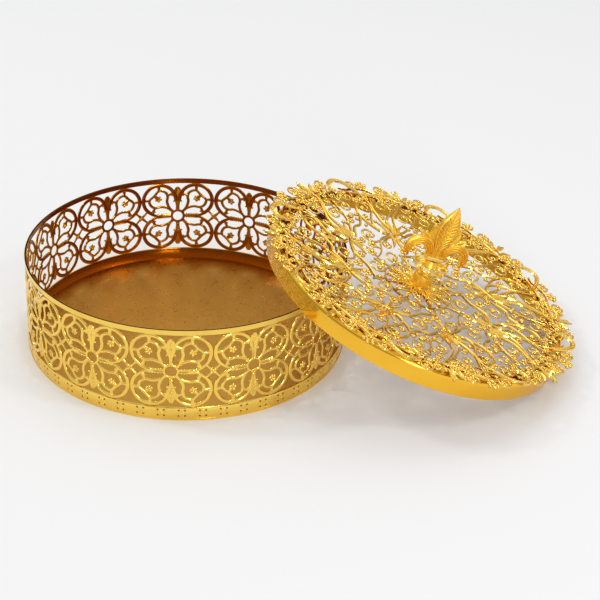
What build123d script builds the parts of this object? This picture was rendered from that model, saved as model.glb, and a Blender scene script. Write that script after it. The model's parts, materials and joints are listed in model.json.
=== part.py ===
from build123d import *
import os
from math import cos, degrees, pi, radians, sin, sqrt

# A round openwork box for dry fruit, with its lid taken off and leaning on the rim.
# Millimetres and degrees. The origin is the centre of the box's underside,
# +Z is up and +X points at the leaning lid.

# Box
box_radius = 81.7
box_height = 50.0
wall_thickness = 0.7
base_thickness = 0.9
solder_gap = 0.05

# Openwork strip of the wall
top_band = 2.6
bottom_band = 7.3
column_pitch_wanted = 20.4
seam_width = 5.2
seam_azimuth = 13.0
ring_band = 1.8
scroll_band = 1.1
spoke_width = 2.0
stem_width = 2.4
eye_radius = 2.9
bud_half_width = 1.1
heart_reach = 5.4
heart_root_drop = 0.8
leaf_foot_inset = 0.7
leaf_foot_drop = 6.5
leaf_end_angle = 158.0
wedge_half_width = 4.8
wedge_depth = 3.2
wedge_foot_half_width = 1.1
junction_half_width = 5.6
junction_depth = 6.6
side_gap_root = 1.7
side_gap_middle = 3.4
side_gap_reach = 6.4
side_gap_half_height = 1.9
band_lap = 0.1
strap_width = 9.0
strap_thickness = 0.6
strap_margin = 5.0

# Lid ring
ring_clearance = 0.3
ring_sheet = 0.9
ring_height = 10.8
ring_shoulder = 2.4
flange_width = 8.0

# Leaning lid at rest
lid_tilt = 21.2
lean_gap = 0.2

# Filigree top
filigree_thickness = 1.3
filigree_overhang = 2.2
dish_depth = 4.5
dish_floor_margin = 0.4
sector_count = 8
loop_radius = 5.6
loop_eye_radius = 2.7
loop_azimuth = 37.6
cluster_radius = 4.2
cluster_azimuth = 26.1
tip_azimuth = 10.8
tip_reach = 5.2
tip_half_width = 3.2
lobe_inset = 0.8
lace_stem_width = 1.1
inner_row_share = 0.24
middle_row_share = 0.59
inner_gap_half_angle = 11.0
middle_gap_half_angle = 8.6
outer_gap_half_angle = 5.8
rim_gap_half_angle = 5.0
middle_gap_lean = 9.0
outer_gap_lean = 6.0
rim_gap_lean = 2.0
rim_gap_start = 0.3
gap_shoulder_share = 0.35
gap_neck_share = 0.72
gap_neck_width_share = 0.8

# Medallion in the middle of the filigree
medallion_radius = 19.0
medallion_thickness = 1.6
medallion_border = 2.2
border_rise = 0.7
border_sides = 24
petal_count = 8
petal_collar_margin = 2.0
petal_border_margin = 1.2

# Screw that holds the finial
screw_radius = 2.0
screw_clearance = 0.15
screw_head_radius = 3.8
screw_head_height = 2.4
screw_grip = 5.0
screw_tip_gap = 0.3
washer_radius = 6.5
washer_thickness = 0.8

# Finial
collar_radius = 5.2
collar_height = 6.0
calyx_height = 5.4
calyx_lip_radius = 10.2
calyx_lip_height = 1.0
calyx_taper = 4.4
turned_sides = 12
foot_radius = 4.6
foot_height = 3.0
lily_turn = 15.5
waist_width = 6.4
lily_thickness = 3.6
tie_height = 3.4
tie_band = 1.3
tie_clearance = 0.05
spear_length = 29.0
spear_width = 11.2
inner_leaf_length = 17.5
inner_leaf_spread = 24.0
outer_leaf_length = 16.9
outer_leaf_spread = 47.5
leaf_width = 4.8
petal_outer = 8.3
petal_inner = 3.9
petal_reach = 9.9
petal_lift = 0.8
petal_droop = 220.0
petal_tip_angle = 20.0
petal_chords = 6
blade_root = 1.5
blade_neck_share = 0.3
blade_neck_width_share = 0.8
blade_shoulder_share = 0.56
curl_length = 9.5
curl_width = 2.0

# Worked out from the driving dimensions
wall_inside = box_radius - wall_thickness
hoop_length = 2 * pi * box_radius - seam_width
column_count = round(hoop_length / column_pitch_wanted)
column_pitch = hoop_length / column_count
column_angle = degrees(column_pitch / box_radius)
corner_radius = box_radius / cos(radians(column_angle / 2))
first_edge = seam_azimuth + (360 - column_count * column_angle) / 2
openwork_bottom = bottom_band
openwork_top = box_height - top_band
openwork_middle = (openwork_bottom + openwork_top) / 2
row_pitch = (openwork_top - openwork_bottom) / 2
roundel_radius = min(column_pitch, row_pitch) / 2
ring_inner = roundel_radius - ring_band
ring_radius = wall_inside - ring_clearance
rim_cover = box_radius + filigree_overhang
filigree_level = ring_height
dish_level = filigree_level - dish_depth
medallion_level = dish_level + filigree_thickness
collar_level = medallion_level + medallion_thickness
calyx_level = collar_level + collar_height
lily_level = calyx_level + calyx_height
tie_level = lily_level + foot_height
spear_level = tie_level + tie_height


def lean_distance():
    """How far the lid's centre stands from the box's axis when it leans.

    The ring's outer lower edge stands on the ground and its inner lower edge
    crosses the rim's outermost circle, a small gap above it.
    """
    tilt = radians(lid_tilt)
    inner_edge = ring_radius - ring_sheet
    along = (ring_radius * sin(tilt) - box_height - lean_gap) / (inner_edge * sin(tilt))
    across_squared = 1 - along**2
    reach = sqrt(corner_radius**2 - inner_edge**2 * across_squared)
    return reach - inner_edge * along * cos(tilt)


lid_downhill = Vector(cos(radians(lid_tilt)), 0, -sin(radians(lid_tilt)))
lid_up = Vector(sin(radians(lid_tilt)), 0, cos(radians(lid_tilt)))
lid_centre = Vector(lean_distance(), 0, ring_radius * sin(radians(lid_tilt)))
lid_plane = Plane(origin=lid_centre, x_dir=lid_downhill, z_dir=lid_up)
lid_profile = Plane(origin=lid_centre, x_dir=lid_downhill, z_dir=(0, -1, 0))
lid_axis = Axis(lid_centre, lid_up)
lily_cos, lily_sin = cos(radians(lily_turn)), sin(radians(lily_turn))
lily_right = lid_downhill * lily_cos + Vector(0, lily_sin, 0)
lily_front = lid_downhill * lily_sin - Vector(0, lily_cos, 0)
lily_plane = Plane(origin=lid_centre, x_dir=lily_right, z_dir=lily_front)


def polar(radius, azimuth):
    """A point at a radius and an angle in degrees."""
    return (radius * cos(radians(azimuth)), radius * sin(radians(azimuth)))


def chords(radius, start, end, steps):
    """Points along an arc, a few straight chords that keep the pattern light."""
    return [polar(radius, start + (end - start) * i / steps) for i in range(steps + 1)]


def wall_plane(azimuth, height):
    """A plane just outside the wall that faces outwards, with its y axis up."""
    outside = box_radius + wall_thickness
    x, y = polar(outside, azimuth)
    right = polar(1, azimuth + 90)
    return Plane(origin=(x, y, height), x_dir=(*right, 0), z_dir=(*polar(1, azimuth), 0))


def placed(points, side, level):
    """Mirrors a roundel's window: side -1 for a left one, level -1 for a lower one."""
    moved = [(x * side, y * level) for x, y in points]
    return moved if side * level > 0 else moved[::-1]


def roundel_windows():
    """The windows of an upper right roundel, centred on it.

    Its module's middle lies down and to the left. Two spokes hold a heart-shaped
    scroll to the outer ring, and a flower bud fills the scroll's outer corner.
    """
    spoke = spoke_width / 2
    spoke_angle = degrees(spoke / ring_inner)
    stem_side = stem_width / 2 - roundel_radius
    fan = chords(ring_inner, spoke_angle, 90 - spoke_angle, 2)
    fan += [(spoke, heart_reach), (heart_reach, spoke)]
    leaf = chords(ring_inner, 90 + spoke_angle, leaf_end_angle, 2)
    leaf += [
        (stem_side + leaf_foot_inset, -leaf_foot_drop),
        (-heart_reach, -heart_root_drop),
        (-spoke, heart_reach),
    ]
    mirrored_leaf = [(y, x) for x, y in reversed(leaf)]
    arm = heart_reach - scroll_band
    bud = bud_half_width
    hollow = [
        (-arm, -arm),
        (bud, -arm),
        (arm, -bud),
        (-bud, -bud),
        (-bud, arm),
        (-arm, bud),
    ]
    return [fan, leaf, mirrored_leaf, hollow]


def axis_windows():
    """The eye in the middle of a module, and the wedges above and below its stem."""
    eye = chords(eye_radius, 0, 300, 5)
    top = row_pitch - band_lap
    foot = top - wedge_depth
    wedge = [
        (-wedge_half_width, top),
        (-wedge_foot_half_width, foot),
        (wedge_foot_half_width, foot),
        (wedge_half_width, top),
    ]
    return [eye, wedge, placed(wedge, 1, -1)]


def junction_windows():
    """The gaps where two modules meet: wedges above and below, two beside a flower."""
    top = row_pitch - band_lap
    wedge = [(-junction_half_width, top), (0, top - junction_depth), (junction_half_width, top)]
    side = [
        (-side_gap_reach, 0),
        (-side_gap_middle, -side_gap_half_height),
        (-side_gap_root, 0),
        (-side_gap_middle, side_gap_half_height),
    ]
    return [wedge, placed(wedge, 1, -1), side, placed(side, -1, 1)]


# The floor of the box, a plain disc soldered inside the foot of the wall.
with BuildPart() as base_plate:
    with BuildSketch():
        Circle(wall_inside - solder_gap)
    extrude(amount=base_thickness)

# The wall: a pierced strip bent column by column into a hoop that closes at a seam.
with BuildPart() as pierced_wall:
    corners = [first_edge + edge * column_angle for edge in range(column_count + 1)]
    inner_corner = corner_radius * wall_inside / box_radius
    with BuildSketch():
        Polygon(*[polar(corner_radius, azimuth) for azimuth in corners], align=None)
        Polygon(
            *[polar(inner_corner, azimuth) for azimuth in corners],
            align=None,
            mode=Mode.SUBTRACT,
        )
    extrude(amount=box_height)
    # The cutters start one sheet's thickness outside the strip and end one inside it.
    cut_depth = -3 * wall_thickness
    cutters = []
    for column in range(column_count):
        azimuth = first_edge + (column + 0.5) * column_angle
        side = 1 if column % 2 == 0 else -1
        for level in (1, -1):
            height = openwork_middle + level * row_pitch / 2
            with BuildSketch(wall_plane(azimuth, height), mode=Mode.PRIVATE) as openings:
                for window in roundel_windows():
                    Polygon(*placed(window, side, level), align=None)
            cutters += extrude(openings.sketch, cut_depth, mode=Mode.PRIVATE).solids()
    for edge in range(1, column_count):
        windows = axis_windows() if edge % 2 == 0 else junction_windows()
        plane = wall_plane(corners[edge], openwork_middle)
        with BuildSketch(plane, mode=Mode.PRIVATE) as openings:
            for window in windows:
                Polygon(*window, align=None)
        cutters += extrude(openings.sketch, cut_depth, mode=Mode.PRIVATE).solids()
    add(cutters, mode=Mode.SUBTRACT)

# The strap soldered inside the wall, behind the seam where the strip's ends meet.
with BuildPart() as seam_strap:
    strap_outside = wall_inside - solder_gap
    strap_bottom = base_thickness + strap_margin
    strap_height = box_height - ring_height - strap_margin - strap_bottom
    half_angle = degrees(strap_width / strap_outside) / 2
    with BuildSketch(Plane.XY.offset(strap_bottom)):
        with BuildLine():
            CenterArc((0, 0), strap_outside, seam_azimuth - half_angle, 2 * half_angle)
            inner_start = seam_azimuth + half_angle
            CenterArc((0, 0), strap_outside - strap_thickness, inner_start, -2 * half_angle)
            for end in (seam_azimuth - half_angle, seam_azimuth + half_angle):
                Line(polar(strap_outside - strap_thickness, end), polar(strap_outside, end))
        make_face()
    extrude(amount=strap_height)

# The lid's ring: a turned sheet with a plain side, a round shoulder and a flat flange.
with BuildPart() as lid_ring:
    with BuildSketch(lid_profile):
        shoulder = chords(ring_shoulder, 0, 90, 2)
        Polygon(
            (ring_radius, 0),
            *[
                (ring_radius - ring_shoulder + x, ring_height - ring_shoulder + y)
                for x, y in shoulder
            ],
            (ring_radius - flange_width, ring_height),
            (ring_radius - flange_width, ring_height - ring_sheet),
            (ring_radius - ring_sheet, ring_height - ring_sheet),
            (ring_radius - ring_sheet, 0),
            align=None,
        )
    revolve(axis=lid_axis)


def leaf_gap(inner, outer, azimuth, half_angle, lean):
    """A leaf-shaped gap between two radii, as six points; lean turns it by degrees."""

    def edge(share, turn):
        radius = inner + share * (outer - inner)
        return polar(radius, azimuth + turn + lean * (share - 0.5))

    neck = gap_neck_width_share * half_angle
    return [
        edge(0, 0),
        edge(gap_shoulder_share, half_angle),
        edge(gap_neck_share, neck),
        edge(1, 0),
        edge(gap_neck_share, -neck),
        edge(gap_shoulder_share, -half_angle),
    ]


def dish_block(bottom_level, height):
    """A block whose lower side slopes from the dish's edge down to its flat floor."""
    with BuildPart() as block:
        with BuildSketch(lid_plane.offset(bottom_level)):
            RegularPolygon(flange_edge, sector_count)
        extrude(amount=height)
        floor = faces().sort_by(lid_axis)[0]
        chamfer(floor.edges(), length=dish_slope, length2=dish_depth, reference=floor)
    return block.part


flange_edge = ring_radius - flange_width
dish_slope = flange_edge * cos(pi / sector_count) - medallion_radius - dish_floor_margin
dish_metal = dish_block(dish_level, dish_depth + filigree_thickness)
dish_air = dish_block(dish_level + filigree_thickness, 2 * dish_depth)

# The filigree top: a cast sheet of stems and leaves with a scrolled edge, dished
# towards the middle in eight flat sectors.
with BuildPart() as lid_filigree:
    sector = 360 / sector_count
    lobe_circle = rim_cover - lobe_inset
    loop_circle = lobe_circle - loop_radius / 2
    lace_width = flange_edge - medallion_radius
    inner_row_end = medallion_radius + inner_row_share * lace_width
    middle_row_end = medallion_radius + middle_row_share * lace_width
    with BuildSketch(lid_plane.offset(filigree_level)):
        Circle(rim_cover - 2 * lobe_inset)
        with PolarLocations(loop_circle, sector_count, loop_azimuth):
            RegularPolygon(loop_radius, 10)
        with PolarLocations(lobe_circle - cluster_radius / 4, sector_count, cluster_azimuth):
            RegularPolygon(cluster_radius, 8)
        with PolarLocations(lobe_circle, sector_count, tip_azimuth):
            Polygon(
                (-tip_half_width, -tip_half_width),
                (tip_reach, 0),
                (-tip_half_width, tip_half_width),
                align=None,
            )
        RegularPolygon(flange_edge, sector_count, mode=Mode.SUBTRACT)
    extrude(amount=filigree_thickness)
    add(dish_metal)
    add(dish_air, mode=Mode.SUBTRACT)
    gaps = []
    for turn in range(sector_count):
        start = turn * sector
        gaps.append(
            leaf_gap(
                medallion_radius + lace_stem_width,
                inner_row_end,
                start,
                inner_gap_half_angle,
                0,
            )
        )
        for step, lean in enumerate((-middle_gap_lean, middle_gap_lean)):
            gaps.append(
                leaf_gap(
                    inner_row_end + lace_stem_width,
                    middle_row_end,
                    start + sector * (step + 0.5) / 2,
                    middle_gap_half_angle,
                    lean,
                )
            )
        for step, lean in enumerate((-outer_gap_lean, outer_gap_lean, -outer_gap_lean)):
            gaps.append(
                leaf_gap(
                    middle_row_end + lace_stem_width,
                    flange_edge - 2 * lace_stem_width,
                    start + sector * (step + 0.5) / 3,
                    outer_gap_half_angle,
                    lean,
                )
            )
        for step in range(2):
            gaps.append(
                leaf_gap(
                    flange_edge - lace_stem_width,
                    ring_radius,
                    start + tip_azimuth + sector * (step + rim_gap_start) / 3,
                    rim_gap_half_angle,
                    rim_gap_lean,
                )
            )
    with BuildSketch(lid_plane.offset(filigree_level)):
        with PolarLocations(loop_circle, sector_count, loop_azimuth):
            RegularPolygon(loop_eye_radius, 6)
        for gap in gaps:
            Polygon(*gap, align=None)
        Circle(screw_radius + screw_clearance)
    extrude(amount=dish_depth + filigree_thickness, both=True, mode=Mode.SUBTRACT)

# The medallion on the middle of the filigree, with a raised border and eight petals.
with BuildPart() as lid_medallion:
    with BuildSketch(lid_plane.offset(medallion_level)):
        RegularPolygon(medallion_radius, border_sides)
        Circle(screw_radius + screw_clearance, mode=Mode.SUBTRACT)
    extrude(amount=medallion_thickness)
    with BuildSketch(lid_plane.offset(collar_level)):
        RegularPolygon(medallion_radius, border_sides)
        RegularPolygon(
            medallion_radius - medallion_border, border_sides, mode=Mode.SUBTRACT
        )
    extrude(amount=border_rise)
    with BuildSketch(lid_plane.offset(medallion_level)):
        for petal in range(petal_count):
            inner = collar_radius + petal_collar_margin
            outer = medallion_radius - medallion_border - petal_border_margin
            azimuth = 360 * petal / petal_count
            Polygon(*leaf_gap(inner, outer, azimuth, 90 / petal_count, 0), align=None)
    extrude(amount=medallion_thickness, mode=Mode.SUBTRACT)

# The finial's collar, a plain drum on the medallion with a blind hole for the screw.
with BuildPart() as finial_collar:
    with BuildSketch(lid_plane.offset(collar_level)):
        Circle(collar_radius)
    extrude(amount=collar_height)
    with BuildSketch(lid_plane.offset(collar_level)):
        Circle(screw_radius + screw_clearance)
    extrude(amount=screw_grip, mode=Mode.SUBTRACT)

# The calyx, a small faceted bell that opens above the collar and carries the lily.
with BuildPart() as finial_calyx:
    with BuildSketch(lid_plane.offset(calyx_level)):
        RegularPolygon(calyx_lip_radius, turned_sides)
    extrude(amount=calyx_height)
    bottom = faces().sort_by(lid_axis)[0]
    chamfer(
        bottom.edges(),
        length=calyx_taper,
        length2=calyx_height - calyx_lip_height,
        reference=bottom,
    )


def pointed_leaf(level, length, width, lean):
    """A leaf from a level on the lily's axis to a point, leaning by degrees.

    Its root runs on below the level, so that leaves overlap where they meet.
    """
    slant = radians(lean)
    neck = blade_neck_width_share * width / 2

    def edge(share, side):
        along = share * length
        return (
            along * sin(slant) + side * cos(slant),
            level + along * cos(slant) - side * sin(slant),
        )

    return [
        edge(-blade_root / length, 0),
        edge(blade_neck_share, neck),
        edge(blade_shoulder_share, width / 2),
        edge(1, 0),
        edge(blade_shoulder_share, -width / 2),
        edge(blade_neck_share, -neck),
    ]


def drooping_petal(side):
    """A side petal: a broad hook that rises from the waist and turns down."""
    centre_x, centre_y = side * petal_reach, spear_level + petal_lift
    start = 180 if side > 0 else 0
    blunt = start - side * (petal_droop - petal_tip_angle)
    tip = polar((petal_outer + petal_inner) / 2, start - side * petal_droop)
    points = chords(petal_outer, start, blunt, petal_chords)
    points += [tip, *chords(petal_inner, blunt, start, petal_chords)]
    return [(centre_x + x, centre_y + y) for x, y in points]


# The lily: a flat casting with a spear, four small leaves, two drooping petals
# and two lower curls, on a foot.
with BuildPart() as finial_lily:
    with BuildSketch(lily_plane):
        with Locations((0, tie_level + tie_height / 2 + petal_lift)):
            Rectangle(waist_width, tie_height + 2 * petal_lift)
        Polygon(*pointed_leaf(spear_level, spear_length, spear_width, 0), align=None)
        for side in (1, -1):
            lean = side * inner_leaf_spread
            Polygon(*pointed_leaf(spear_level, inner_leaf_length, leaf_width, lean), align=None)
            lean = side * outer_leaf_spread
            Polygon(*pointed_leaf(spear_level, outer_leaf_length, leaf_width, lean), align=None)
            Polygon(*drooping_petal(side), align=None)
            foot_middle = lily_level + foot_height / 2
            Polygon(*pointed_leaf(foot_middle, curl_length, curl_width, 90 * side), align=None)
    extrude(amount=lily_thickness / 2, both=True)
    with BuildSketch(lid_plane.offset(lily_level)):
        RegularPolygon(foot_radius, turned_sides)
    extrude(amount=foot_height)

# The bright band tied round the lily's waist.
with BuildPart() as finial_tie:
    band_width = waist_width + 2 * tie_clearance
    band_depth = lily_thickness + 2 * tie_clearance
    with BuildSketch(lid_plane.offset(tie_level)):
        Rectangle(band_width + 2 * tie_band, band_depth + 2 * tie_band, rotation=lily_turn)
        Rectangle(band_width, band_depth, rotation=lily_turn, mode=Mode.SUBTRACT)
    extrude(amount=tie_height)

# The washer under the filigree and the screw that pulls the finial down on it.
with BuildPart() as finial_washer:
    with BuildSketch(lid_plane.offset(dish_level - washer_thickness)):
        RegularPolygon(washer_radius, turned_sides)
        Circle(screw_radius + screw_clearance, mode=Mode.SUBTRACT)
    extrude(amount=washer_thickness)

with BuildPart() as finial_screw:
    head_level = dish_level - washer_thickness - screw_head_height
    with BuildSketch(lid_plane.offset(head_level)):
        RegularPolygon(screw_head_radius, 6)
    extrude(amount=screw_head_height)
    with BuildSketch(lid_plane.offset(head_level + screw_head_height)):
        Circle(screw_radius)
    extrude(amount=collar_level + screw_grip - screw_tip_gap - head_level - screw_head_height)

pieces = {
    "base_plate": base_plate,
    "pierced_wall": pierced_wall,
    "seam_strap": seam_strap,
    "lid_ring": lid_ring,
    "lid_filigree": lid_filigree,
    "lid_medallion": lid_medallion,
    "finial_collar": finial_collar,
    "finial_calyx": finial_calyx,
    "finial_lily": finial_lily,
    "finial_tie": finial_tie,
    "finial_washer": finial_washer,
    "finial_screw": finial_screw,
}

os.makedirs("parts", exist_ok=True)
for name, piece in pieces.items():
    piece.part.label = name
    export_step(piece.part, f"parts/{name}.step")
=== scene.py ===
# %% [markdown]
# # Dressing a gilt openwork box
# This lesson takes a plain CAD model of a round box with a leaning lid and gives it
# the cast scrolls, pearls and gilt finishes of the real thing. The CAD model is the
# fixed frame: it says where every piece stands, and nothing in it is moved.

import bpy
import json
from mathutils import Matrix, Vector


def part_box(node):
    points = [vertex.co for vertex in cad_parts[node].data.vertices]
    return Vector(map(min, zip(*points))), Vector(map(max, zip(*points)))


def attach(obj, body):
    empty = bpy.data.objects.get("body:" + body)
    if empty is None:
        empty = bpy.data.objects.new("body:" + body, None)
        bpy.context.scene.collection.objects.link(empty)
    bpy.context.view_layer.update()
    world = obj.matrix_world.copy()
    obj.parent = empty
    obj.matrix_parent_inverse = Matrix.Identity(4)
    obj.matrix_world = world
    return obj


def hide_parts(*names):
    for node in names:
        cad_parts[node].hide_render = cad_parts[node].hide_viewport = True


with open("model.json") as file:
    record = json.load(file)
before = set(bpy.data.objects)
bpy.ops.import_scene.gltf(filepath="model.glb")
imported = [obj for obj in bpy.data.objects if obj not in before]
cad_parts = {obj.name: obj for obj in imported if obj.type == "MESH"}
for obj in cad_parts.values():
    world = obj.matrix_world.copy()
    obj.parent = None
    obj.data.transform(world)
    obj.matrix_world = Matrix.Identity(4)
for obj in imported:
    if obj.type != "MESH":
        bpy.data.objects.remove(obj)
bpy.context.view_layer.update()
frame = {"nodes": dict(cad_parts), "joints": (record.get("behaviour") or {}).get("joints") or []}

# %% Tools for numbers and meshes
import json
import math

import bpy
import numpy as np
from mathutils import Matrix, Vector

MM = 0.001
print("one millimetre is", MM, "m")

# %% [markdown]
# ## Camera
# The photograph was taken from about 0.9 m with a short telephoto view, 30 degrees
# down and tilted by two degrees. A camera can be aimed with a constraint, but a
# matrix made from its three directions also holds the small tilt.


# %% Camera
def aimed(place, target, tilt=0):
    """A matrix at a place that looks at a target, tilted by an angle in degrees."""
    forward = (Vector(target) - Vector(place)).normalized()
    level_right = forward.cross(Vector((0, 0, 1))).normalized()
    level_up = level_right.cross(forward)
    angle = math.radians(tilt)
    up = level_up * math.cos(angle) + level_right * math.sin(angle)
    right = forward.cross(up)
    matrix = Matrix((right, up, -forward)).transposed().to_4x4()
    matrix.translation = place
    return matrix


def placed(name, data):
    """A new object in the scene that shows a mesh, a lamp or a camera."""
    made = bpy.data.objects.new(name, data)
    bpy.context.scene.collection.objects.link(made)
    return made


SENSOR_WIDTH = 36
FOCAL_LENGTH = 102
CAMERA_PLACE = (0.08998, -0.75753, 0.45859)
CAMERA_TARGET = (0.05669, 0.04131, 0)
CAMERA_TILT = -2.131

camera = placed("camera", bpy.data.cameras.new("camera"))
camera.data.sensor_width = SENSOR_WIDTH
camera.data.lens = FOCAL_LENGTH
camera.matrix_world = aimed(CAMERA_PLACE, CAMERA_TARGET, CAMERA_TILT)
bpy.context.scene.camera = camera
print("camera looks along", tuple(-camera.matrix_world.col[2].xyz))

# %% [markdown]
# ## Room and light
# The object stands on a white sweep under soft light. A wide lamp above and behind
# draws the soft shadow, and three small ones, left, right and low in front, give the
# lace its sharp glints. Polished metal shows little but its surroundings, so the
# world is darker near the horizon than overhead and gives plain gold a gradient.
# The floor is a real plane, so that the box keeps its contact shadow.


# %% Colour and node helpers
def linear(code):
    """An sRGB hex colour as linear light."""
    channels = [int(code[i : i + 2], 16) / 255 for i in (1, 3, 5)]
    curve = [c / 12.92 if c <= 0.04045 else ((c + 0.055) / 1.055) ** 2.4 for c in channels]
    return (*curve, 1.0)


def add_node(tree, kind, values=None, links=None, **settings):
    """Adds a shader node, sets its settings and socket values, and links its inputs."""
    new = tree.nodes.new("ShaderNode" + kind)
    for name, value in settings.items():
        setattr(new, name, value)
    for socket, value in (values or {}).items():
        new.inputs[socket].default_value = value
    for socket, source in (links or {}).items():
        tree.links.new(source, new.inputs[socket])
    return new


print("middle grey in linear light:", round(linear("#808080")[0], 3))

# %% Floor
FLOOR_SIZE = 6.0
floor_mesh = bpy.data.meshes.new("floor")
edge = FLOOR_SIZE / 2
floor_corners = [(-edge, -edge, 0), (edge, -edge, 0), (edge, edge, 0), (-edge, edge, 0)]
floor_mesh.from_pydata(floor_corners, [], [(0, 1, 2, 3)])
floor = placed("floor", floor_mesh)

# Matt white paper has no gloss, so it shows nothing but the soft shadow.
paper = bpy.data.materials.new("white_paper_sweep")
paper.use_nodes = True
tree = paper.node_tree
surface = tree.nodes["Principled BSDF"]
surface.inputs["Base Color"].default_value = linear("#EEEEEF")
surface.inputs["Roughness"].default_value = 0.9
surface.inputs["Specular IOR Level"].default_value = 0.0
floor_mesh.materials.append(paper)
print("floor:", FLOOR_SIZE, "m wide")

# %% World that is brighter overhead
HORIZON_LIGHT = 0.34
OVERHEAD_LIGHT = 0.83
OVERHEAD_HEIGHT = 0.7

world = bpy.data.worlds.new("studio")
bpy.context.scene.world = world
world.use_nodes = True
tree = world.node_tree
direction = add_node(tree, "TexCoord").outputs["Generated"]
height = add_node(tree, "SeparateXYZ", {}, {0: direction}).outputs[2]
light = {"From Max": OVERHEAD_HEIGHT, "To Min": HORIZON_LIGHT, "To Max": OVERHEAD_LIGHT}
strength = add_node(tree, "MapRange", light, {"Value": height}, interpolation_type="SMOOTHSTEP")
tree.links.new(strength.outputs[0], tree.nodes["Background"].inputs["Strength"])
tree.nodes["Background"].inputs["Color"].default_value = (1, 1, 1, 1)
bpy.context.scene.view_settings.view_transform = "Standard"
print("world light:", HORIZON_LIGHT, "at the horizon,", OVERHEAD_LIGHT, "overhead")

# %% Lamps
# Each has a name, a place and a target in m, a size in m and a power in W.
LAMPS = [
    ("top_lamp", (0.1, 0.5, 1.3), (0.06, 0.1, 0), 0.8, 2.4),
    ("left_lamp", (-0.7, 0.1, 0.9), (0.03, 0, 0.03), 0.13, 1.7),
    ("right_lamp", (0.75, -0.25, 0.95), (0.06, 0, 0.03), 0.13, 1.4),
    ("front_lamp", (0.35, -0.95, 0.22), (0.09, 0, 0.05), 0.22, 2.0),
]

for name, place, target, size, power in LAMPS:
    lamp = bpy.data.lights.new(name, "AREA")
    lamp.size = size
    lamp.energy = power
    placed(name, lamp).matrix_world = aimed(place, target)
print("lamps:", len(LAMPS))

# %% [markdown]
# ## Gilt brass
# Every visible piece is brass with a thin layer of gold. The pieces differ in how
# they were made before plating: cast lace keeps a fine grain, the spun ring keeps a
# satin sheen, and the polished parts mirror their surroundings. Each material mixes
# a deep colour in at random, as an uneven plating tone, and the lace's materials
# also as painted shade in the hollows and undersides that a mask picks out.
# One function makes them all, since only their numbers differ. The grain of the real
# casting is finer than the picture can show, so it is drawn as coarse as it must be.

# %% Gilt material
CLOUD_SIZE = 14
CLOUD_TONE = 0.86
GRAIN_DEPTH = 0.05


def gilt(name, bright, deep, roughness, grain, bump, mask=None):
    """Gold plating over metal with grain of a size in mm, darker as painted shade where mask is 0.
    """
    material = bpy.data.materials.new(name)
    material.use_nodes = True
    tree = material.node_tree
    surface = tree.nodes["Principled BSDF"]
    surface.inputs["Metallic"].default_value = 1.0
    place = add_node(tree, "TexCoord").outputs["Object"]
    clouds = {"Scale": 1 / (CLOUD_SIZE * MM), "Detail": 3.0}
    cloud = add_node(tree, "TexNoise", clouds, {"Vector": place}).outputs[0]
    tones = {"From Min": 0.3, "From Max": 0.7, "To Min": CLOUD_TONE}
    tone = add_node(tree, "MapRange", tones, {"Value": cloud}).outputs[0]
    if mask:
        # Painted shade: where the mask falls to 0, the colour goes over to the deep one.
        painted_shade = mask(tree, place)
        tone = add_node(tree, "Math", {}, {0: tone, 1: painted_shade}, operation="MULTIPLY").outputs[0]
    ends = {6: linear(deep), 7: linear(bright)}
    colour = add_node(tree, "Mix", ends, {0: tone}, data_type="RGBA")
    tree.links.new(colour.outputs[2], surface.inputs["Base Color"])
    grains = {"Scale": 1 / (grain * MM), "Detail": 2.0}
    grit = add_node(tree, "TexNoise", grains, {"Vector": place}).outputs[0]
    rough = {"From Min": 0.3, "From Max": 0.7}
    rough |= {"To Min": roughness * 0.8, "To Max": roughness * 1.25}
    worked = add_node(tree, "MapRange", rough, {"Value": grit})
    tree.links.new(worked.outputs[0], surface.inputs["Roughness"])
    relief = {"Strength": bump, "Distance": GRAIN_DEPTH * MM}
    pitted = add_node(tree, "Bump", relief, {"Height": grit})
    tree.links.new(pitted.outputs[0], surface.inputs["Normal"])
    return material


print("plating clouds:", CLOUD_SIZE, "mm, grain depth:", GRAIN_DEPTH, "mm")

# %% [markdown]
# ## Where the pieces are
# The lid leans on the box's rim, and its lace is a shallow dish. Ornament is easier
# to draw flat, so four functions carry flat points in millimetres to their places:
# onto the round wall, the flat lid, its dish or the upright lily. The lean comes from
# the joint's axis and the ring's box in the frame. A parent object could hold the
# lean too, but it couldn't bend the lace into the dish or round the wall.

# %% Where the lid is
joint = frame["joints"][0]
lid_up = np.array(Vector(joint["axis"]).normalized())
lid_downhill = np.array((lid_up[2], 0, -lid_up[0]))
lid_side = np.array((0.0, 1.0, 0.0))
ring_low, ring_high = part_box("lid_ring")
RING_RADIUS = (ring_high.y - ring_low.y) / 2 / MM
lid_centre = np.array((ring_low.x / MM + RING_RADIUS * lid_up[2], 0, RING_RADIUS * lid_up[0]))
print("lid centre, mm:", lid_centre.round(2), "ring radius:", round(RING_RADIUS, 2))

# %% Onto the lid, its dish and the lily
RING_HEIGHT = 10.8
FLANGE = 8.0
DISH = 4.5
DISH_FLOOR = 20.0
LILY_TURN = math.radians(15.5)


def on_lid(points):
    """Lid places in mm (downhill, across, above the ring's lower edge) as metres."""
    x, y, level = points.T[:, :, None]
    return (lid_centre + x * lid_downhill + y * lid_side + level * lid_up) * MM


def on_dish(points):
    """Places on the flat lid as on_lid has them, lowered into the shallow dish."""
    reach = np.hypot(points[:, 0], points[:, 1])
    share = (RING_RADIUS - FLANGE - reach) / (RING_RADIUS - FLANGE - DISH_FLOOR)
    lowered = points.copy()
    lowered[:, 2] -= DISH * np.clip(share, 0, 1)
    return on_lid(lowered)


def on_lily(points):
    """Places on the upright lily (right, up, towards the viewer) in mm as metres."""
    x, level, depth = points.T[:, :, None]
    right = math.cos(LILY_TURN) * lid_downhill + math.sin(LILY_TURN) * lid_side
    front = math.sin(LILY_TURN) * lid_downhill - math.cos(LILY_TURN) * lid_side
    return (lid_centre + x * right + level * lid_up + depth * front) * MM


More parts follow.
